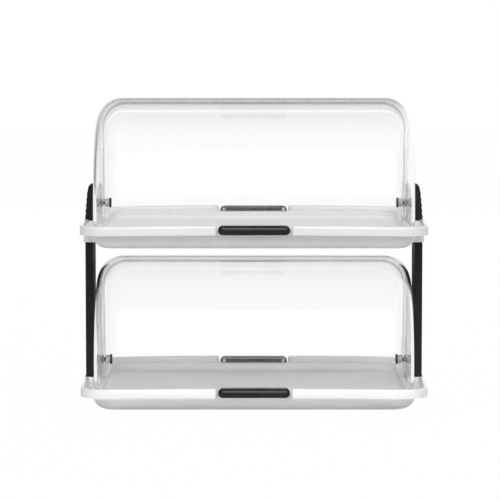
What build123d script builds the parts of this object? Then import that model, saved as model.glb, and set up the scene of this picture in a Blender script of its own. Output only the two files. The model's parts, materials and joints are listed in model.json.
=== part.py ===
"""Two-tier countertop roll-top display: two white trays, each under a pair of clear nested covers.

Frame: millimetres, +Z up, origin on the counter under the middle of the lower tray.
+X runs along the trays, -Y is the front where the customer stands.
"""

import os
from math import asin, cos, radians, sin, sqrt

from build123d import *

# ---- driving dimensions ----
TRAY_LENGTH = 440.0  # over the rim, along X
TRAY_DEPTH = 315.0  # over the rim, along Y, at the middle
TRAY_CORNER = 35.0  # plan corner radius of the rim
RIM_BULGE = 4.0  # the long sides bow out by this much
RIM_CROWN = 2.2  # the rim is this much lower at its ends than at the middle
TRAY_HEIGHT = 32.0  # counter to rim top
TIER_PITCH = 205.5  # lower tray to upper tray
PIVOT_ABOVE_RIM = 16.2
COVER_RADIUS = 136.6  # outer radius of the front cover about the pivot

# ---- tray ----
RIM_WIDTH = 7.5
RIM_SKIRT = 11.8  # rim top to the lower edge of the rim
RIM_ROUND = 3.3
RIM_END_ROUND = 3.6
RIM_WALL = 2.5
RIM_GROOVE = 7.6  # depth of the groove under the rim
BOWL_LENGTH = 410.0
BOWL_DEPTH = 272.0
BOWL_CORNER = 30.0
BOWL_FILLET = 17.5
WALL = 2.8
FLANGE_TOP = -8.2  # below the rim top
FLANGE_THICK = 2.4
NOTCH_LENGTH = 94.0  # gap in the rim for each cover handle
NOTCH_START = 142.2  # distance from the middle at which the gap begins
NOTCH_SOLID = 6.0  # rim left ungrooved beside the gap
FOOT_INSET = 34.0
FOOT_RECESS = 0.9

# ---- lift-out serving tray ----
LINER_THICK = 1.7
LINER_LENGTH = 413.0
LINER_DEPTH = 279.0
LINER_CORNER = 18.0
LINER_WELL_LENGTH = 386.0
LINER_WELL_DEPTH = 248.0
LINER_WELL_CORNER = 22.0
LINER_FLOOR = -16.6  # top of the floor, below the rim top
LINER_FILLET = 5.5

# ---- uprights and the sockets that take them ----
UPRIGHT_IN = 208.0
UPRIGHT_OUT = 217.8
UPRIGHT_WIDTH = 71.0
TONGUE_WIDTH = 64.0
SOCKET_WIDTH = 84.0
SOCKET_OUT = 219.6
SOCKET_ROUND = 3.0
SOCKET_SOLID = 4.0  # rim left ungrooved beside the socket
SOCKET_TOP = {"lower": -2.0, "upper": -4.2}  # ledge at the upright, from the middle of the rim top
SOCKET_BOTTOM = {"lower": -27.0, "upper": -31.6}
SLOT_IN = 207.7
SLOT_OUT = 218.6
SLOT_GAP = 0.4
POCKET_INSET = 2.0  # the cut in the rim's inner side is shorter than the socket at each end
TONGUE_END_GAP = 1.0
TONGUE_CHAMFER = 1.2
POST_CHAMFER = 0.9
GRIP_TOP = 40.6  # above the upper rim top
GRIP_LEAN = 3.0  # how far the outer face has come in at the top
GRIP_ROUND = 22.0
GRIP_EDGE = 5.0
GRIP_EDGE_FROM = 18.0  # the outer edge is rounded above this height
RIB_COUNT = 5
RIB_PITCH = 7.3
RIB_FIRST = 0.5  # lowest rib, above the upper rim top
RIB_HEIGHT = 0.7
RIB_RADIUS = 1.6
RIB_MARGIN = 4.0  # from the grip's straight edges
RIB_TAPER_FROM = 16.0  # ribs above this height get shorter with the arch
RIB_TAPER = 0.9

# ---- covers ----
COVER_WALL = 3.0
COVER_STEP = 5.5  # the rear cover runs inside the front one by this much
FRONT_COVER_HALF = 204.0
REAR_COVER_HALF = 199.2
COVER_ROUND = 34.0
SEAT_DROP = PIVOT_ABOVE_RIM - FLANGE_TOP - LINER_THICK  # pivot to the covers' lower edge
COVER_OVERLAP = 8.0  # each cover runs past the middle by this much
SEAT_GAP = 0.3  # keeps the heel and the handle pads clear of the tray
HEEL_RADIUS = SEAT_DROP - SEAT_GAP
PIVOT_HOLE = 6.1

# ---- pivots ----
BOLT_DIAMETER = 6.0
BOLT_HEAD = 13.0
BOLT_NECK = 8.6
BOLT_HEAD_DEPTH = 2.6
BOLT_PLAY = 0.1
COUNTERSINK_PLAY = 0.35
WASHER_DIAMETER = 10.6
CAP_BASE = 189.6  # where the spacer sleeve ends and the cap begins
CAP_END = 186.6
CAP_DISH = 0.9
CAP_EDGE = 0.6
THREAD_LENGTH = 1.0  # bolt inside the cap

# ---- cover handles ----
BAR_LENGTH = 90.6
BAR_HEIGHT = 12.2
BAR_FACE = 157.5
BAR_BACK = 144.0
BAR_TOP = -PIVOT_ABOVE_RIM - 0.2  # from the pivot
BAR_ROUND = 5.6
BAR_BACK_ROUND = 1.0
PAD_LENGTH = 86.0
PAD_TOP = BAR_TOP - 0.8
PAD_BOTTOM = SEAT_GAP - SEAT_DROP
PAD_DEPTH = 8.0  # how far the pad's block reaches behind the cover's outer radius
PAD_ROUND = 2.2
SCREW_SPACING = 80.0
SCREW_HEIGHT = (PAD_TOP + PAD_BOTTOM) / 2
SCREW_DIAMETER = 2.6
SCREW_HEAD = 4.6
SCREW_HEAD_THICK = 1.5
SCREW_LENGTH = 12.0
SCREW_SINK = 0.5  # head below the cover's inner face

RIM_TOP = {"lower": TRAY_HEIGHT, "upper": TRAY_HEIGHT + TIER_PITCH}
PIVOT = {tier: top + PIVOT_ABOVE_RIM for tier, top in RIM_TOP.items()}
SIDES = {"left": -1, "right": 1}
WIDE = 600.0  # reach of the cutting blocks


def plate(length, depth, corner, low, high):
    """A rounded rectangle in plan, from one height to another."""
    outline = RectangleRounded(length, depth, corner)
    return Pos(0, 0, low) * extrude(outline, high - low)


def block(x0, x1, y0, y1, z0, z1):
    return Pos((x0 + x1) / 2, (y0 + y1) / 2, (z0 + z1) / 2) * Box(x1 - x0, y1 - y0, z1 - z0)


def rod(diameter, x0, x1):
    """A round bar along X."""
    bar = Cylinder(diameter / 2, abs(x1 - x0))
    return Pos((x0 + x1) / 2, 0, 0) * Rot(0, 90, 0) * bar


# ---------------------------------------------------------------- tray
def rim_outline(inset):
    """The rim's plan outline, or one that lies inside it: long sides bowed out a little."""
    x = TRAY_LENGTH / 2 - inset
    y = TRAY_DEPTH / 2 - inset
    end = y - RIM_BULGE
    outline = make_face(
        [
            Line((x, -end), (x, end)),
            ThreePointArc((x, end), (0, y), (-x, end)),
            Line((-x, end), (-x, -end)),
            ThreePointArc((-x, -end), (0, -y), (x, -end)),
        ]
    )
    return fillet(outline.vertices(), TRAY_CORNER - inset)


def crowned_slab(low, high):
    """A slab between two heights that falls away towards both ends of the tray."""
    x = WIDE / 2
    drop = RIM_CROWN * (2 * x / TRAY_LENGTH) ** 2
    side_view = make_face(
        [
            ThreePointArc((-x, high - drop), (0, high), (x, high - drop)),
            Line((x, high - drop), (x, low - drop)),
            ThreePointArc((x, low - drop), (0, low), (-x, low - drop)),
            Line((-x, low - drop), (-x, high - drop)),
        ]
    )
    return extrude(Plane.XZ * side_view, WIDE / 2, both=True)


def rim_ring(outer, inner, low, high):
    """The part of the crowned rim between two insets and two heights."""
    ring = extrude(rim_outline(outer), WIDE, both=True) - extrude(rim_outline(inner), WIDE, both=True)
    return ring & crowned_slab(low, high)


def rim_lip():
    """The rolled rim: rounded on top, hollow below, open at the front and rear notches."""
    lip = rim_ring(0, RIM_WIDTH, -RIM_SKIRT, 0)
    half = NOTCH_LENGTH / 2
    lip -= block(-half, half, -WIDE, WIDE, -WIDE, WIDE)
    upright_edges = [e for e in lip.edges() if abs(e.tangent_at(0.5).Z) > 0.9]
    lip = fillet([e for e in upright_edges if abs(abs(e.center().X) - half) < 0.01], RIM_END_ROUND)
    top_edges = [e for e in lip.edges() if e.center().Z > -RIM_SKIRT / 2]
    lip = fillet([e for e in top_edges if abs(e.tangent_at(0.5).Z) < 0.5], RIM_ROUND)
    return lip - rim_channel()


def rim_channel():
    """The groove under the rim, left solid beside the notches and the sockets."""
    groove = rim_ring(RIM_WALL, RIM_WIDTH - RIM_WALL, -2 * RIM_SKIRT, RIM_GROOVE - RIM_SKIRT)
    beside_notch = NOTCH_LENGTH / 2 + NOTCH_SOLID
    beside_socket = SOCKET_WIDTH / 2 + SOCKET_SOLID
    groove -= block(-beside_notch, beside_notch, -WIDE, WIDE, -WIDE, WIDE)
    groove -= block(-WIDE, WIDE, -beside_socket, beside_socket, -WIDE, WIDE)
    return groove


def bowl():
    """The moulded tub below the flange, with a recessed foot."""
    outer = plate(BOWL_LENGTH, BOWL_DEPTH, BOWL_CORNER, -TRAY_HEIGHT, FLANGE_TOP - 1)
    outer = fillet(outer.edges().group_by(Axis.Z)[0], BOWL_FILLET)
    foot = plate(
        BOWL_LENGTH - 2 * FOOT_INSET,
        BOWL_DEPTH - 2 * FOOT_INSET,
        BOWL_CORNER - WALL,
        -TRAY_HEIGHT - 1,
        -TRAY_HEIGHT + FOOT_RECESS,
    )
    return outer - foot


def bowl_hollow():
    length, depth, corner = BOWL_LENGTH - 2 * WALL, BOWL_DEPTH - 2 * WALL, BOWL_CORNER - WALL
    hollow = plate(length, depth, corner, -TRAY_HEIGHT + WALL, 1)
    return fillet(hollow.edges().group_by(Axis.Z)[0], BOWL_FILLET - WALL)


def flange():
    """The ledge between the tub and the rim, cut back at the two notches."""
    outline = Pos(0, 0, FLANGE_TOP - FLANGE_THICK) * rim_outline(RIM_WIDTH - RIM_WALL / 2)
    shelf = extrude(outline, FLANGE_THICK)
    half = NOTCH_LENGTH / 2
    for end in (-1, 1):
        near, far = sorted((end * NOTCH_START, end * WIDE))
        shelf -= block(-half, half, near, far, -WIDE, WIDE)
    return shelf


def socket(tier):
    """The block beside the tub that takes the tongue of an upright, with a ledge above the flange."""
    half = SOCKET_WIDTH / 2
    bottom = SOCKET_BOTTOM[tier]
    shape = block(BOWL_LENGTH / 2 - WALL / 2, SOCKET_OUT, -half, half, bottom, FLANGE_TOP)
    shape += block(SLOT_IN, SOCKET_OUT, -half, half, bottom, SOCKET_TOP[tier])
    outer = [e for e in shape.edges().filter_by(Axis.Z) if e.center().X > SOCKET_OUT - 0.1]
    return fillet(outer, SOCKET_ROUND)


def socket_slot():
    half = TONGUE_WIDTH / 2 + SLOT_GAP
    return block(SLOT_IN, SLOT_OUT, -half, half, -TRAY_HEIGHT, 1)


def rim_pocket(tier):
    """The rim is cut down to the socket's ledge on its inner side where an upright passes."""
    half = SOCKET_WIDTH / 2 - POCKET_INSET
    return block(SLOT_IN, SLOT_OUT, -half, half, SOCKET_TOP[tier], 1)


def both_ends(shape):
    return shape + mirror(shape, Plane.YZ)


def tub(tier):
    shape = bowl() + flange() + rim_lip() + both_ends(socket(tier))
    shape -= bowl_hollow()
    shape -= both_ends(socket_slot() + rim_pocket(tier))
    return Pos(0, 0, RIM_TOP[tier]) * shape


def serving_tray(tier):
    """The shallow lift-out tray; the covers stand on its flange."""
    shape = plate(
        LINER_LENGTH, LINER_DEPTH, LINER_CORNER, FLANGE_TOP, FLANGE_TOP + LINER_THICK
    )
    well = plate(
        LINER_WELL_LENGTH + 2 * LINER_THICK,
        LINER_WELL_DEPTH + 2 * LINER_THICK,
        LINER_WELL_CORNER + LINER_THICK,
        LINER_FLOOR - LINER_THICK,
        FLANGE_TOP,
    )
    shape += fillet(well.edges().group_by(Axis.Z)[0], LINER_FILLET + LINER_THICK)
    hollow = plate(LINER_WELL_LENGTH, LINER_WELL_DEPTH, LINER_WELL_CORNER, LINER_FLOOR, 0)
    shape -= fillet(hollow.edges().group_by(Axis.Z)[0], LINER_FILLET)
    return Pos(0, 0, RIM_TOP[tier]) * shape


# ---------------------------------------------------------------- uprights
def grip_outline(low):
    """Side view of the tongue and the arched grip above it."""
    half = TONGUE_WIDTH / 2
    outline = make_face(Polyline((-half, low), (half, low), (half, GRIP_TOP), (-half, GRIP_TOP), close=True))
    return fillet(outline.vertices().group_by(Axis.Y)[-1], GRIP_ROUND)


def grip(low):
    """The tongue that passes through the tray, ending in a ribbed grip that leans inwards."""
    side_view = Plane.YZ.offset(UPRIGHT_IN)
    shape = extrude(side_view * grip_outline(low), UPRIGHT_OUT - UPRIGHT_IN)
    lean = Plane.XZ * make_face(
        Polyline(
            (UPRIGHT_OUT, 0),
            (WIDE, 0),
            (WIDE, GRIP_TOP),
            (UPRIGHT_OUT - GRIP_LEAN, GRIP_TOP),
            close=True,
        )
    )
    shape -= extrude(lean, WIDE / 2, both=True)
    middle = (UPRIGHT_IN + UPRIGHT_OUT) / 2
    outer = [e for e in shape.edges() if e.center().X > middle and e.center().Z > GRIP_EDGE_FROM]
    shape = fillet([e for e in outer if abs(e.tangent_at(0.5).X) < 0.3], GRIP_EDGE)
    for n in range(RIB_COUNT):
        shape += grip_rib(RIB_FIRST + n * RIB_PITCH)
    return shape


def grip_rib(height):
    """One rounded bar across the outer face of the grip."""
    face = UPRIGHT_OUT - GRIP_LEAN * height / GRIP_TOP
    length = TONGUE_WIDTH - 2 * RIB_MARGIN - max(0.0, height - RIB_TAPER_FROM) * RIB_TAPER
    bar = Rot(90, 0, 0) * Cylinder(RIB_RADIUS, length)
    return Pos(face + RIB_HEIGHT - RIB_RADIUS, 0, height) * bar


def upright(side):
    """One flat post: tongue into the lower tray, shoulder under the upper one, grip above."""
    foot = RIM_TOP["lower"] + SOCKET_TOP["lower"]
    shoulder = RIM_TOP["upper"] + SOCKET_BOTTOM["upper"]
    half = UPRIGHT_WIDTH / 2
    shape = block(UPRIGHT_IN, UPRIGHT_OUT, -half, half, foot, shoulder)
    shape = chamfer(shape.edges().filter_by(Axis.Z), POST_CHAMFER)
    tongue_end = RIM_TOP["lower"] + SOCKET_BOTTOM["lower"] + TONGUE_END_GAP
    tongue = block(
        UPRIGHT_IN, UPRIGHT_OUT, -TONGUE_WIDTH / 2, TONGUE_WIDTH / 2, tongue_end, foot
    )
    shape += chamfer(tongue.edges().group_by(Axis.Z)[0], TONGUE_CHAMFER)
    shape += Pos(0, 0, RIM_TOP["upper"]) * grip(SOCKET_BOTTOM["upper"])
    return shape if side > 0 else mirror(shape, Plane.YZ)


# ---------------------------------------------------------------- covers
def drum_section(half, radius, round_radius):
    """Half of the drum's section in the XZ plane: along the axis, up the end and along the top."""
    corner = half - round_radius, radius - round_radius
    turn = round_radius * sin(radians(45))
    up = Line((half, 0), (half, corner[1]))
    bend = ThreePointArc((half, corner[1]), (corner[0] + turn, corner[1] + turn), (corner[0], radius))
    top = Line((corner[0], radius), (-corner[0], radius))
    back = ThreePointArc((-corner[0], radius), (-corner[0] - turn, corner[1] + turn), (-half, corner[1]))
    down = Line((-half, corner[1]), (-half, 0))
    return make_face([up, bend, top, back, down, Line((-half, 0), (half, 0))])


def drum(half, radius, round_radius):
    return revolve(Plane.XZ * drum_section(half, radius, round_radius), Axis.X)


def cover_outline():
    """Side view of the front cover: seat edge, heel round the pivot, and the edge past the middle."""
    heel_z = -sqrt(HEEL_RADIUS**2 - COVER_OVERLAP**2)
    heel_y = -sqrt(SEAT_DROP**2 - HEEL_RADIUS**2)
    turn = asin(COVER_OVERLAP / HEEL_RADIUS) / 2
    middle = HEEL_RADIUS * sin(turn), -HEEL_RADIUS * cos(turn)
    reach = WIDE / 2
    return [
        Line((-reach, -SEAT_DROP), (heel_y, -SEAT_DROP)),
        Line((heel_y, -SEAT_DROP), (0, -HEEL_RADIUS)),
        ThreePointArc((0, -HEEL_RADIUS), middle, (COVER_OVERLAP, heel_z)),
        Line((COVER_OVERLAP, heel_z), (COVER_OVERLAP, reach)),
        Line((COVER_OVERLAP, reach), (-reach, reach)),
        Line((-reach, reach), (-reach, -SEAT_DROP)),
    ]


def cover(half, radius, facing):
    """A thin half drum, open below and at its middle edge, with a pivot hole in each end."""
    shape = drum(half, radius, COVER_ROUND)
    shape -= drum(half - COVER_WALL, radius - COVER_WALL, COVER_ROUND - COVER_WALL)
    kept = extrude(Plane.YZ * make_face(cover_outline()), WIDE / 2, both=True)
    shape = shape & kept
    shape -= rod(PIVOT_HOLE, -half - 1, half + 1)
    if facing > 0:
        return mirror(shape, Plane.XZ)
    wide, narrow = BOLT_HEAD + 2 * COUNTERSINK_PLAY, BOLT_NECK + 2 * COUNTERSINK_PLAY
    sink = head_cone(half, wide, narrow, BOLT_HEAD_DEPTH + 2 * BOLT_PLAY)
    return shape - sink - mirror(sink, Plane.YZ)


def cover_size(facing):
    """Half length and outer radius of the front (-1) or rear (+1) cover."""
    if facing < 0:
        return FRONT_COVER_HALF, COVER_RADIUS
    return REAR_COVER_HALF, COVER_RADIUS - COVER_STEP


def placed_cover(tier, facing):
    half, radius = cover_size(facing)
    shape = cover(half, radius, facing)
    for x in (-SCREW_SPACING / 2, SCREW_SPACING / 2):
        shape -= handle_screw(x, radius, facing)
    return Pos(0, 0, PIVOT[tier]) * shape


def handle_screw(x, radius, facing):
    """A countersunk screw from inside the cover into the handle."""
    inner_face = sqrt((radius - COVER_WALL) ** 2 - SCREW_HEIGHT**2)
    turn = Rot(90, 0, 0) if facing < 0 else Rot(-90, 0, 0)
    head = Cone(SCREW_HEAD / 2, SCREW_DIAMETER / 2, SCREW_HEAD_THICK)
    shank = Pos(0, 0, SCREW_LENGTH / 2) * Cylinder(SCREW_DIAMETER / 2, SCREW_LENGTH)
    screw = shank + Pos(0, 0, SCREW_HEAD_THICK / 2) * head
    return Pos(x, facing * (inner_face + SCREW_SINK), SCREW_HEIGHT) * turn * screw


def handle_screws(tier, facing):
    radius = cover_size(facing)[1]
    pair = [handle_screw(x, radius, facing) for x in (-SCREW_SPACING / 2, SCREW_SPACING / 2)]
    return Pos(0, 0, PIVOT[tier]) * Compound(children=pair)


def handle(tier, facing):
    """A pill-shaped bar with a pad behind it that lies against the cover."""
    radius = cover_size(facing)[1]
    front = Plane.XZ.offset(BAR_BACK)
    pill = Pos(0, BAR_TOP - BAR_HEIGHT / 2, 0) * SlotOverall(BAR_LENGTH, BAR_HEIGHT)
    bar = extrude(front * pill, BAR_FACE - BAR_BACK)
    bar = fillet(bar.edges().group_by(Axis.Y)[0], BAR_ROUND)
    bar = fillet(bar.edges().group_by(Axis.Y)[-1], BAR_BACK_ROUND)
    half = PAD_LENGTH / 2
    pad = block(-half, half, -(BAR_BACK + BAR_FACE) / 2, PAD_DEPTH - radius, PAD_BOTTOM, PAD_TOP)
    shape = bar + fillet(pad.edges().filter_by(Axis.Y), PAD_ROUND)
    shape -= rod(2 * radius, -BAR_LENGTH, BAR_LENGTH)
    if facing > 0:
        shape = mirror(shape, Plane.XZ)
    for x in (-SCREW_SPACING / 2, SCREW_SPACING / 2):
        shape -= handle_screw(x, radius, facing)
    return Pos(0, 0, PIVOT[tier]) * shape


# ---------------------------------------------------------------- pivots
def placed_pivot(shape, tier, side):
    if side < 0:
        shape = mirror(shape, Plane.YZ)
    return Pos(0, 0, PIVOT[tier]) * shape


def head_cone(half, wide, narrow, depth):
    """The countersunk shape in the +X end of a cover, wide at the outer face."""
    cone = Cone(narrow / 2, wide / 2, depth)
    return Pos(half - depth / 2, 0, 0) * Rot(0, 90, 0) * cone


def pivot_bolt(tier, side):
    """Countersunk head in the end of the front cover, shank through both covers into the cap."""
    face = FRONT_COVER_HALF - BOLT_PLAY
    shape = head_cone(face, BOLT_HEAD, BOLT_NECK, BOLT_HEAD_DEPTH)
    shape += rod(BOLT_DIAMETER, CAP_BASE - THREAD_LENGTH, face - BOLT_HEAD_DEPTH / 2)
    return placed_pivot(shape, tier, side)


def pivot_washer(tier, side):
    """Spacer that keeps the ends of the two covers apart."""
    ring = rod(WASHER_DIAMETER, REAR_COVER_HALF, FRONT_COVER_HALF - COVER_WALL - BOLT_PLAY)
    ring -= rod(BOLT_DIAMETER, REAR_COVER_HALF - 1, FRONT_COVER_HALF)
    return placed_pivot(ring, tier, side)


def pivot_sleeve(tier, side):
    """Clear spacer on the bolt between the end of the rear cover and the cap."""
    ring = rod(WASHER_DIAMETER, CAP_BASE, REAR_COVER_HALF - COVER_WALL)
    ring -= rod(BOLT_DIAMETER, CAP_BASE - 1, REAR_COVER_HALF)
    return placed_pivot(ring, tier, side)


def pivot_cap(tier, side):
    """Thin dished cap on the end of the bolt, as one turned section."""
    rim = BOLT_HEAD / 2
    bore = BOLT_DIAMETER / 2
    bore_end = CAP_BASE - THREAD_LENGTH
    section = Polyline(
        (CAP_END + CAP_DISH, 0),
        (bore_end, 0),
        (bore_end, bore),
        (CAP_BASE, bore),
        (CAP_BASE, rim),
        (CAP_END + CAP_EDGE, rim),
        (CAP_END, rim - CAP_EDGE),
        (CAP_END, rim - 2 * CAP_EDGE),
        (CAP_END + CAP_DISH, rim / 2),
        close=True,
    )
    return placed_pivot(revolve(Plane.XZ * make_face(section), Axis.X), tier, side)


def all_nodes():
    nodes = {}
    for side_name, side in SIDES.items():
        nodes[f"{side_name}_upright"] = upright(side)
    for tier in RIM_TOP:
        nodes[f"{tier}_tub"] = tub(tier)
        nodes[f"{tier}_serving_tray"] = serving_tray(tier)
        for name, facing in (("front", -1), ("rear", 1)):
            nodes[f"{tier}_{name}_cover"] = placed_cover(tier, facing)
            nodes[f"{tier}_{name}_handle"] = handle(tier, facing)
            nodes[f"{tier}_{name}_handle_screws"] = handle_screws(tier, facing)
        for side_name, side in SIDES.items():
            nodes[f"{tier}_{side_name}_pivot_bolt"] = pivot_bolt(tier, side)
            nodes[f"{tier}_{side_name}_pivot_washer"] = pivot_washer(tier, side)
            nodes[f"{tier}_{side_name}_pivot_sleeve"] = pivot_sleeve(tier, side)
            nodes[f"{tier}_{side_name}_pivot_cap"] = pivot_cap(tier, side)
    return nodes


os.makedirs("parts", exist_ok=True)
for node, solid in all_nodes().items():
    export_step(solid, f"parts/{node}.step")
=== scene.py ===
"""Two-tier countertop roll-top display: white trays, black posts and bars, clear nested covers."""

import json
from math import asin, cos, pi, radians, sin, sqrt

import bmesh
import bpy
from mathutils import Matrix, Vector


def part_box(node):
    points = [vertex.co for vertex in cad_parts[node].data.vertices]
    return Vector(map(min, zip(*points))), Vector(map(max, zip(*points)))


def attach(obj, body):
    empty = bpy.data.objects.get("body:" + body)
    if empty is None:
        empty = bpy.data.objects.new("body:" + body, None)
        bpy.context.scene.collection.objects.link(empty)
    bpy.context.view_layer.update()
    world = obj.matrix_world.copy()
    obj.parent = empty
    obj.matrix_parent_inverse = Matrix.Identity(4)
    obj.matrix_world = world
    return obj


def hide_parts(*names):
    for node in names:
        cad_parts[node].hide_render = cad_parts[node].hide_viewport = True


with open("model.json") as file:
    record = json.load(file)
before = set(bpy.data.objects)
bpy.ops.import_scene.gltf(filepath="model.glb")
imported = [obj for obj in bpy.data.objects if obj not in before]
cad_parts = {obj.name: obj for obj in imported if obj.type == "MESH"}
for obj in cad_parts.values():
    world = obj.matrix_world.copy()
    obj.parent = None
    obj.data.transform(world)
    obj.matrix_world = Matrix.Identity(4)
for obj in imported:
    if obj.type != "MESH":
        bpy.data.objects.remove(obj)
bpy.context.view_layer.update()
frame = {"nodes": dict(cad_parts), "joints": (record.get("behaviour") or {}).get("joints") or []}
nodes = frame["nodes"]
joints = {joint["name"]: joint for joint in frame["joints"]}
TIERS = ("lower", "upper")
FACINGS = {"front": -1, "rear": 1}  # the way along Y that each cover of a tier faces
SIDES = ("left", "right")


# ---------------------------------------------------------------- camera
CAMERA_PLACE = (-0.0088, -3.727, 0.5624)
CAMERA_PITCH = 5.681  # degrees below the horizon
CAMERA_PAN = 0.058  # degrees towards +X
CAMERA_LENS = 206.76
CAMERA_SENSOR = 36.0


def add_camera():
    data = bpy.data.cameras.new("camera")
    data.sensor_width = CAMERA_SENSOR
    data.lens = CAMERA_LENS
    camera = bpy.data.objects.new("camera", data)
    camera.location = CAMERA_PLACE
    camera.rotation_euler = (radians(90 - CAMERA_PITCH), 0, -radians(CAMERA_PAN))
    bpy.context.scene.collection.objects.link(camera)
    bpy.context.scene.camera = camera


# ---------------------------------------------------------------- node helpers
NOISE_MIDDLE = (0.3, 0.7)  # the part of a noise value that is stretched over a whole range


def new_tree(name):
    """A new material, its node tree and its shader."""
    material = bpy.data.materials.new(name)
    material.use_nodes = True
    tree = material.node_tree
    return material, tree, tree.nodes["Principled BSDF"]


def add_node(tree, kind, **values):
    node = tree.nodes.new(kind)
    for key, value in values.items():
        setattr(node, key, value)
    return node


def combined(tree, operation, first, second=0.0):
    """A maths node on two values, each a socket or a plain number."""
    node = add_node(tree, "ShaderNodeMath", operation=operation)
    for socket, value in zip(node.inputs, (first, second)):
        if isinstance(value, float):
            socket.default_value = value
        else:
            tree.links.new(value, socket)
    return node.outputs["Value"]


def mapped(tree, value, span, onto, interpolation="LINEAR"):
    """Maps a value from one span onto another, and holds it at the ends."""
    node = add_node(tree, "ShaderNodeMapRange", interpolation_type=interpolation)
    node.inputs["From Min"].default_value, node.inputs["From Max"].default_value = span
    node.inputs["To Min"].default_value, node.inputs["To Max"].default_value = onto
    tree.links.new(value, node.inputs["Value"])
    return node.outputs["Result"]


def noise(tree, scale, detail):
    coords = add_node(tree, "ShaderNodeTexCoord")
    texture = add_node(tree, "ShaderNodeTexNoise")
    texture.inputs["Scale"].default_value = scale
    texture.inputs["Detail"].default_value = detail
    tree.links.new(coords.outputs["Object"], texture.inputs["Vector"])
    return texture.outputs["Fac"]


def tinted(tree, value, dark, light):
    """A colour from dark to light, by a noise value."""
    mix = add_node(tree, "ShaderNodeMix", data_type="RGBA")
    mix.inputs["A"].default_value = (*dark, 1)
    mix.inputs["B"].default_value = (*light, 1)
    tree.links.new(mapped(tree, value, NOISE_MIDDLE, (0, 1)), mix.inputs["Factor"])
    return mix.outputs["Result"]


def bump(tree, shader, value, height, strength=1.0):
    node = add_node(tree, "ShaderNodeBump")
    node.inputs["Strength"].default_value = strength
    node.inputs["Distance"].default_value = height
    tree.links.new(value, node.inputs["Height"])
    tree.links.new(node.outputs["Normal"], shader.inputs["Normal"])


def mixed(tree, factor, first, second):
    """The first shader at factor 0, the second at factor 1."""
    node = add_node(tree, "ShaderNodeMixShader")
    tree.links.new(factor, node.inputs["Fac"])
    tree.links.new(first, node.inputs[1])
    tree.links.new(second, node.inputs[2])
    return node.outputs["Shader"]


# ---------------------------------------------------------------- materials
PLASTIC_IOR = 1.5
PLASTIC_DETAIL = 3  # of all noise in moulded plastic
MOTTLE_SCALE = 14  # noise in the colour
SHEEN_SCALE = 60  # noise in the roughness
PLASTICS = {
    # name: dark and light colour, roughness span, specular level, scale and height of the grain
    "tray_white": ((0.84, 0.84, 0.835), (0.86, 0.86, 0.855), (0.12, 0.17), 0.5, 900, 1e-5),
    "liner_white": ((0.82, 0.82, 0.815), (0.84, 0.84, 0.835), (0.32, 0.42), 0.5, 700, 1.2e-5),
    "handle_black": ((0.005, 0.005, 0.0055), (0.008, 0.008, 0.0085), (0.13, 0.18), 0.3, 1200, 1e-5),
    "upright_black": ((0.01, 0.01, 0.0105), (0.014, 0.014, 0.0145), (0.65, 0.8), 0.2, 1600, 2e-5),
    "pivot_black": ((0.01, 0.01, 0.011), (0.015, 0.015, 0.016), (0.25, 0.35), 0.3, 1500, 1e-5),
    "spacer_grey": ((0.5, 0.5, 0.5), (0.56, 0.56, 0.56), (0.3, 0.4), 0.5, 1500, 1e-5),
}
STEEL_COLOURS = ((0.42, 0.42, 0.43), (0.62, 0.62, 0.62))
STEEL_ROUGHNESS = (0.22, 0.4)
STEEL_SCALES = (400, 900, 1500)  # noise in the colour, the roughness and the surface
STEEL_DETAIL = 2
STEEL_GRAIN = 2e-5
CLEAR_COLOUR = (0.99, 0.993, 0.993, 1)
CLEAR_ROUGHNESS = 0.015
CLEAR_MIRROR = (0.25, 0.25, 0.25, 1)  # share of a plain polished sheet's reflection
CLEAR_GREY = (0.45, 0.47, 0.48, 1)  # what the thickness absorbs
CLEAR_DENSITY = 3.0
CLEAR_PASSING = (0.97, 0.97, 0.97, 1)  # light that passes straight through a surface
WAVE_SCALE = 9
WAVE_DETAIL = 1
WAVE_HEIGHT = 0.00015
WAVE_STRENGTH = 0.4
TRAPPED = 2.5  # bounces inside the sheet after which light passes straight out of it


def moulded_plastic(name, dark, light, roughness, specular, grain_scale, grain_height):
    """Injection-moulded plastic: a faint mottle in colour and gloss over a fine surface grain."""
    material, tree, shader = new_tree(name)
    mottle = noise(tree, MOTTLE_SCALE, PLASTIC_DETAIL)
    tree.links.new(tinted(tree, mottle, dark, light), shader.inputs["Base Color"])
    sheen = mapped(tree, noise(tree, SHEEN_SCALE, PLASTIC_DETAIL), NOISE_MIDDLE, roughness)
    tree.links.new(sheen, shader.inputs["Roughness"])
    shader.inputs["IOR"].default_value = PLASTIC_IOR
    shader.inputs["Specular IOR Level"].default_value = specular
    bump(tree, shader, noise(tree, grain_scale, PLASTIC_DETAIL), grain_height)
    return material


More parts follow.
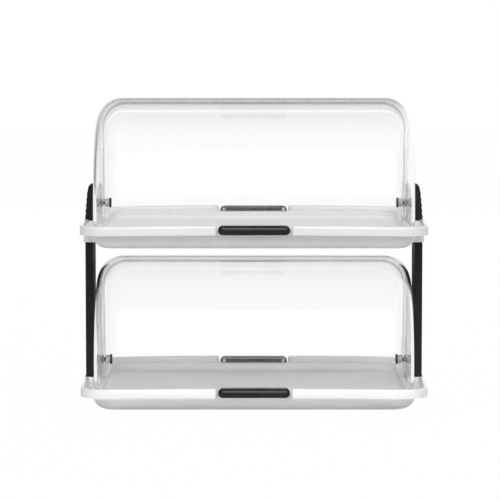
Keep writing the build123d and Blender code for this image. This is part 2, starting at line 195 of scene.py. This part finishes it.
def clear_plastic():
    """Polished clear sheet: slight grey in the thickness, a slow moulded waviness in the surface.

    Light for the trays passes straight through it, and so does light trapped in the sheet."""
    material, tree, shader = new_tree("clear_cover")
    shader.inputs["Base Color"].default_value = CLEAR_COLOUR
    shader.inputs["Roughness"].default_value = CLEAR_ROUGHNESS
    shader.inputs["IOR"].default_value = PLASTIC_IOR
    shader.inputs["Specular Tint"].default_value = CLEAR_MIRROR
    shader.inputs["Transmission Weight"].default_value = 1.0
    bump(tree, shader, noise(tree, WAVE_SCALE, WAVE_DETAIL), WAVE_HEIGHT, WAVE_STRENGTH)
    absorb = add_node(tree, "ShaderNodeVolumeAbsorption")
    absorb.inputs["Color"].default_value = CLEAR_GREY
    absorb.inputs["Density"].default_value = CLEAR_DENSITY
    output = tree.nodes["Material Output"]
    tree.links.new(absorb.outputs["Volume"], output.inputs["Volume"])
    path = add_node(tree, "ShaderNodeLightPath").outputs
    lighting = combined(tree, "MAXIMUM", path["Is Shadow Ray"], path["Is Diffuse Ray"])
    trapped = combined(tree, "GREATER_THAN", path["Glossy Depth"], TRAPPED)
    passing = combined(tree, "MAXIMUM", lighting, trapped)
    through = add_node(tree, "ShaderNodeBsdfTransparent")
    through.inputs["Color"].default_value = CLEAR_PASSING
    shown = mixed(tree, passing, shader.outputs["BSDF"], through.outputs["BSDF"])
    tree.links.new(shown, output.inputs["Surface"])
    return material


def steel():
    """Plain stainless steel with a fine irregular finish."""
    material, tree, shader = new_tree("screw_steel")
    in_colour, in_roughness, in_surface = (noise(tree, s, STEEL_DETAIL) for s in STEEL_SCALES)
    shader.inputs["Metallic"].default_value = 1.0
    tree.links.new(tinted(tree, in_colour, *STEEL_COLOURS), shader.inputs["Base Color"])
    sheen = mapped(tree, in_roughness, NOISE_MIDDLE, STEEL_ROUGHNESS)
    tree.links.new(sheen, shader.inputs["Roughness"])
    bump(tree, shader, in_surface, STEEL_GRAIN)
    return material


def assign(node, material):
    for slot in nodes[node].material_slots:
        slot.material = material


def dress_nodes():
    """A material for every CAD node that stays in view."""
    plastic = {name: moulded_plastic(name, *values) for name, values in PLASTICS.items()}
    screw = steel()
    for side in SIDES:
        assign(f"{side}_upright", plastic["upright_black"])
    for tier in TIERS:
        assign(f"{tier}_tub", plastic["tray_white"])
        assign(f"{tier}_serving_tray", plastic["liner_white"])
        for name in FACINGS:
            assign(f"{tier}_{name}_handle", plastic["handle_black"])
            assign(f"{tier}_{name}_handle_screws", screw)
        for side in SIDES:
            for piece in ("bolt", "cap"):
                assign(f"{tier}_{side}_pivot_{piece}", plastic["pivot_black"])
            for piece in ("washer", "sleeve"):
                assign(f"{tier}_{side}_pivot_{piece}", plastic["spacer_grey"])


# ---------------------------------------------------------------- covers
COVER_WALL = 0.003
COVER_ROUND = 0.034  # radius of the bend from a flat end into the curved wall
PIVOT_HOLE = 0.00305  # radius
HEEL_SHORT = 0.0003  # the heel clears the seat plane by this much
ARC_STEPS = 96  # from the seat over the top to the top edge
BEND_STEPS = 14
TOP_EDGE_STEPS = 20
HEEL_STEPS = 10
SEAT_STEPS = 10
WEB_SHARES = (0.0, 0.3, 0.65)  # rings of a flat end, from the pivot hole towards the outline
EDGE_ROUND = 0.0006
EDGE_SEGMENTS = 3
EDGE_ANGLE = 50  # degrees from which an edge is rounded
SHARP_ANGLE = 40  # degrees from which an edge is shaded sharp


class CoverShape:
    """The sizes of one cover, read from its CAD node. Angles run from the front, over the top."""

    def __init__(self, tier, name):
        low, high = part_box(f"{tier}_{name}_cover")
        self.pivot = joints[f"{tier}_{name}_cover_hinge"]["pos_m"][2]
        self.half = high.x
        self.radius = high.z - self.pivot
        self.seat = self.pivot - low.z
        self.overlap = high.y if name == "front" else -low.y
        self.facing = FACINGS[name]

    def angle(self, radius, share):
        """Where a circle about the pivot is: at the seat for share 0, at the top edge for 1."""
        start = -asin(self.seat / radius)
        end = pi / 2 + asin(self.overlap / radius)
        return start + (end - start) * share

    def point(self, x, radius, angle):
        y = self.facing * radius * cos(angle)
        return Vector((x, y, self.pivot + radius * sin(angle)))


def bend_profile(shape):
    """(x, radius) along the curved wall, from the flat of the left end to that of the right."""
    centre_x, centre_r = shape.half - COVER_ROUND, shape.radius - COVER_ROUND
    right = []
    for n in range(BEND_STEPS + 1):
        angle = pi / 2 * n / BEND_STEPS
        right.append((centre_x + COVER_ROUND * sin(angle), centre_r + COVER_ROUND * cos(angle)))
    left = [(-x, r) for x, r in reversed(right)]
    return left + right


def polar(front, up):
    """(radius, angle) of a point that is so far to the front of the pivot and so far above it."""
    point = Vector((front, up))
    angle = Vector((1, 0)).angle_signed(point)
    return point.length, -angle


def end_outline(shape):
    """The closed outline of a flat end as (radius, angle): arc, top edge, heel, then seat."""
    flat = shape.radius - COVER_ROUND
    outline = [(flat, shape.angle(flat, n / ARC_STEPS)) for n in range(ARC_STEPS + 1)]
    heel = shape.seat - HEEL_SHORT
    top = flat * sin(outline[-1][1])
    low = -sqrt(heel**2 - shape.overlap**2)
    for n in range(1, TOP_EDGE_STEPS):
        z = top + (low - top) * n / TOP_EDGE_STEPS
        outline.append(polar(-shape.overlap, z))
    start = asin(shape.overlap / heel)
    for n in range(HEEL_STEPS + 1):
        outline.append((heel, -pi / 2 - start * (1 - n / HEEL_STEPS)))
    front_y = flat * cos(outline[0][1])
    heel_y = sqrt(shape.seat**2 - heel**2)
    for n in range(SEAT_STEPS):
        y = heel_y + (front_y - heel_y) * n / SEAT_STEPS
        outline.append(polar(y, -shape.seat))
    return outline


def cover_sheet(shape):
    """The outer skin of a cover: two flat ends, each with a pivot hole, and the wall between."""
    mesh = bmesh.new()
    angles = range(ARC_STEPS + 1)
    wall = [
        [mesh.verts.new(shape.point(x, r, shape.angle(r, n / ARC_STEPS))) for n in angles]
        for x, r in bend_profile(shape)
    ]
    for row, beside in zip(wall, wall[1:]):
        for n in range(ARC_STEPS):
            mesh.faces.new((row[n], row[n + 1], beside[n + 1], beside[n]))
    outline = end_outline(shape)
    for x, arc in ((-shape.half, wall[0]), (shape.half, wall[-1])):
        rings = []
        for share in WEB_SHARES:
            ring = []
            for radius, angle in outline:
                reach = PIVOT_HOLE + (radius - PIVOT_HOLE) * share
                ring.append(mesh.verts.new(shape.point(x, reach, angle)))
            rings.append(ring)
        straight = [mesh.verts.new(shape.point(x, r, a)) for r, a in outline[ARC_STEPS + 1 :]]
        rings.append(arc + straight)
        for ring, outer in zip(rings, rings[1:]):
            for n in range(len(ring)):
                after = (n + 1) % len(ring)
                mesh.faces.new((ring[n], ring[after], outer[after], outer[n]))
    bmesh.ops.recalc_face_normals(mesh, faces=mesh.faces)
    return mesh


def face_outwards(mesh, shape):
    """Turns all faces over if the topmost one faces the pivot line."""
    top = max(mesh.faces, key=lambda face: face.calc_center_median().z)
    outwards = top.calc_center_median() - Vector((0, 0, shape.pivot))
    if top.normal.dot(outwards) < 0:
        bmesh.ops.reverse_faces(mesh, faces=mesh.faces)


def apply_modifiers(piece):
    bpy.context.view_layer.update()
    graph = bpy.context.evaluated_depsgraph_get()
    made = bpy.data.meshes.new_from_object(piece.evaluated_get(graph))
    piece.modifiers.clear()
    piece.data = made


def add_cover(tier, name, material):
    shape = CoverShape(tier, name)
    mesh = cover_sheet(shape)
    face_outwards(mesh, shape)
    data = bpy.data.meshes.new(f"{tier}_{name}_clear_cover")
    mesh.to_mesh(data)
    mesh.free()
    piece = bpy.data.objects.new(f"{tier}_{name}_clear_cover", data)
    bpy.context.scene.collection.objects.link(piece)
    thick = piece.modifiers.new("wall", "SOLIDIFY")
    thick.thickness = COVER_WALL
    thick.offset = -1
    thick.use_even_offset = True
    rounded = piece.modifiers.new("edge", "BEVEL")
    rounded.width = EDGE_ROUND
    rounded.segments = EDGE_SEGMENTS
    rounded.limit_method = "ANGLE"
    rounded.angle_limit = radians(EDGE_ANGLE)
    apply_modifiers(piece)
    piece.data.materials.clear()
    piece.data.materials.append(material)
    piece.data.shade_smooth()
    piece.data.set_sharp_from_angle(angle=radians(SHARP_ANGLE))
    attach(piece, f"{tier}_{name}_cover")
    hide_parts(f"{tier}_{name}_cover")


# ---------------------------------------------------------------- studio
FLOOR_HALF = 6.0
FLOOR_GREY = 0.62
FLOOR_ROUGHNESS = 0.9
FLOOR_SPECULAR = 0.1
FLOOR_WHITE = 0.985  # share of plain white in what is seen of the floor
FLOOR_GLOSS = 0.6  # the same share, in a reflection
AMBIENT = 0.47
LAMPS = (
    # name, place, height aimed at, width and height, spread in degrees, watts
    ("key_softbox", (0.7, -1.8, 2.6), 0.2, (1.8, 1.8), 180, 27.0),
    ("top_fill", (-0.6, 0.9, 2.6), 0.2, (2.2, 2.2), 180, 8.0),
    ("front_fill", (-0.5, -2.6, 0.4), 0.2, (1.2, 1.2), 180, 4.5),
    ("middle_fill", (-0.3, -2.4, 1.35), 0.1, (1.4, 0.5), 180, 15.0),
    ("back_fill", (0.3, 2.6, 1.0), 0.2, (1.6, 1.6), 180, 32.0),
    ("low_strip", (0.0, -1.3, 0.07), 0.03, (1.6, 0.12), 14, 0.22),
)
# What gloss and the covers see of the room. Directions are from the object.
DIM_TOWARDS = (0.0, 0.6, 0.8)  # the dimmer part of the ceiling
DIM_EDGE = (0.64, 0.966)  # cosines of the angles between which it fades in
DIM_LIGHT = 0.05
LEFT_TOWARDS = (-1.0, 0.0, 0.0)  # the dimmer side
LEFT_EDGE = (0.12, 0.6)  # cosines of the angles between which it fades in
LEFT_LIGHT = 0.3
BOX_TOWARDS = (0.1, -0.78, 0.62)  # the softbox
BOX_EDGE = (0.85, 1.0)  # cosines of the angles between which it fades in
BOX_LIGHT = 4.0
STRIP_ACROSS = (0.0, 0.82, -0.572)  # square to the strip lamp, which runs along X
STRIP_EDGE = (0.01, 0.036)  # sines of the angles off the strip between which it fades out
STRIP_LIGHT = 1.7


def kinds_of_sight(tree, gloss_share):
    """Two factors: 1 for a ray through the covers, or gloss_share for one off gloss, and
    1 for a ray from the camera."""
    path = add_node(tree, "ShaderNodeLightPath").outputs
    gloss = combined(tree, "MULTIPLY", path["Is Glossy Ray"], gloss_share)
    off_surfaces = combined(tree, "MAXIMUM", gloss, path["Is Transmission Ray"])
    return off_surfaces, path["Is Camera Ray"]


def background(tree, strength):
    """A white world shader, its strength a socket or a plain number."""
    node = add_node(tree, "ShaderNodeBackground")
    node.inputs["Color"].default_value = (1, 1, 1, 1)
    if isinstance(strength, float):
        node.inputs["Strength"].default_value = strength
    else:
        tree.links.new(strength, node.inputs["Strength"])
    return node.outputs["Background"]


def facing(tree, sky, direction):
    """How far a direction of the sky faces the given one: 1 for the same direction."""
    node = add_node(tree, "ShaderNodeVectorMath", operation="DOT_PRODUCT")
    tree.links.new(sky, node.inputs[0])
    node.inputs[1].default_value = Vector(direction).normalized()
    return node.outputs["Value"]


def room_light(tree):
    """White walls, dimmer at the rear of the ceiling and on the left, a softbox and a strip."""
    sky = add_node(tree, "ShaderNodeTexCoord").outputs["Generated"]

    def fade(value, span, light):
        return mapped(tree, value, span, light, "SMOOTHSTEP")

    walls = fade(facing(tree, sky, DIM_TOWARDS), DIM_EDGE, (1.0, DIM_LIGHT))
    left = fade(facing(tree, sky, LEFT_TOWARDS), LEFT_EDGE, (1.0, LEFT_LIGHT))
    box = fade(facing(tree, sky, BOX_TOWARDS), BOX_EDGE, (0.0, BOX_LIGHT))
    off_strip = combined(tree, "ABSOLUTE", facing(tree, sky, STRIP_ACROSS))
    strip = fade(off_strip, STRIP_EDGE, (STRIP_LIGHT, 0.0))
    lamps = combined(tree, "ADD", box, strip)
    return combined(tree, "ADD", combined(tree, "MULTIPLY", walls, left), lamps)


def add_world():
    """Even light for the object, white behind it, and soft walls for its reflections."""
    world = bpy.data.worlds.new("studio")
    world.use_nodes = True
    bpy.context.scene.world = world
    tree = world.node_tree
    tree.nodes.remove(tree.nodes["Background"])
    off_surfaces, from_camera = kinds_of_sight(tree, 1.0)
    lit = background(tree, AMBIENT)
    room = background(tree, room_light(tree))
    white = background(tree, 1.0)
    seen = mixed(tree, off_surfaces, lit, room)
    shown = mixed(tree, from_camera, seen, white)
    tree.links.new(shown, tree.nodes["World Output"].inputs["Surface"])


def add_floor():
    """A plain pale floor that shows white and keeps a faint shadow."""
    bpy.ops.mesh.primitive_plane_add(size=2 * FLOOR_HALF, location=(0, 0, 0))
    floor = bpy.context.object
    floor.name = "floor"
    material, tree, shader = new_tree("floor_white")
    shader.inputs["Base Color"].default_value = (FLOOR_GREY, FLOOR_GREY, FLOOR_GREY, 1)
    shader.inputs["Roughness"].default_value = FLOOR_ROUGHNESS
    shader.inputs["Specular IOR Level"].default_value = FLOOR_SPECULAR
    glow = add_node(tree, "ShaderNodeEmission")
    off_surfaces, from_camera = kinds_of_sight(tree, FLOOR_GLOSS)
    seen = combined(tree, "MAXIMUM", off_surfaces, from_camera)
    share = combined(tree, "MULTIPLY", seen, FLOOR_WHITE)
    shown = mixed(tree, share, shader.outputs["BSDF"], glow.outputs["Emission"])
    tree.links.new(shown, tree.nodes["Material Output"].inputs["Surface"])
    floor.data.materials.append(material)


def add_lamps():
    """Soft lamps that light the object but leave no hard-edged reflection."""
    for name, place, aim, size, beam_angle, watts in LAMPS:
        data = bpy.data.lights.new(name, "AREA")
        data.shape = "RECTANGLE"
        data.size, data.size_y = size
        data.spread = radians(beam_angle)
        data.energy = watts
        lamp = bpy.data.objects.new(name, data)
        lamp.location = place
        beam = Vector((0, 0, aim)) - Vector(place)
        lamp.rotation_euler = beam.to_track_quat("-Z", "Y").to_euler()
        lamp.visible_camera = False
        lamp.visible_glossy = False
        lamp.visible_transmission = False
        bpy.context.scene.collection.objects.link(lamp)


# ---------------------------------------------------------------- build
bpy.context.scene.view_settings.view_transform = "Standard"
add_camera()
dress_nodes()
cover_material = clear_plastic()
for tier in TIERS:
    for name in FACINGS:
        add_cover(tier, name, cover_material)
add_world()
add_floor()
add_lamps()
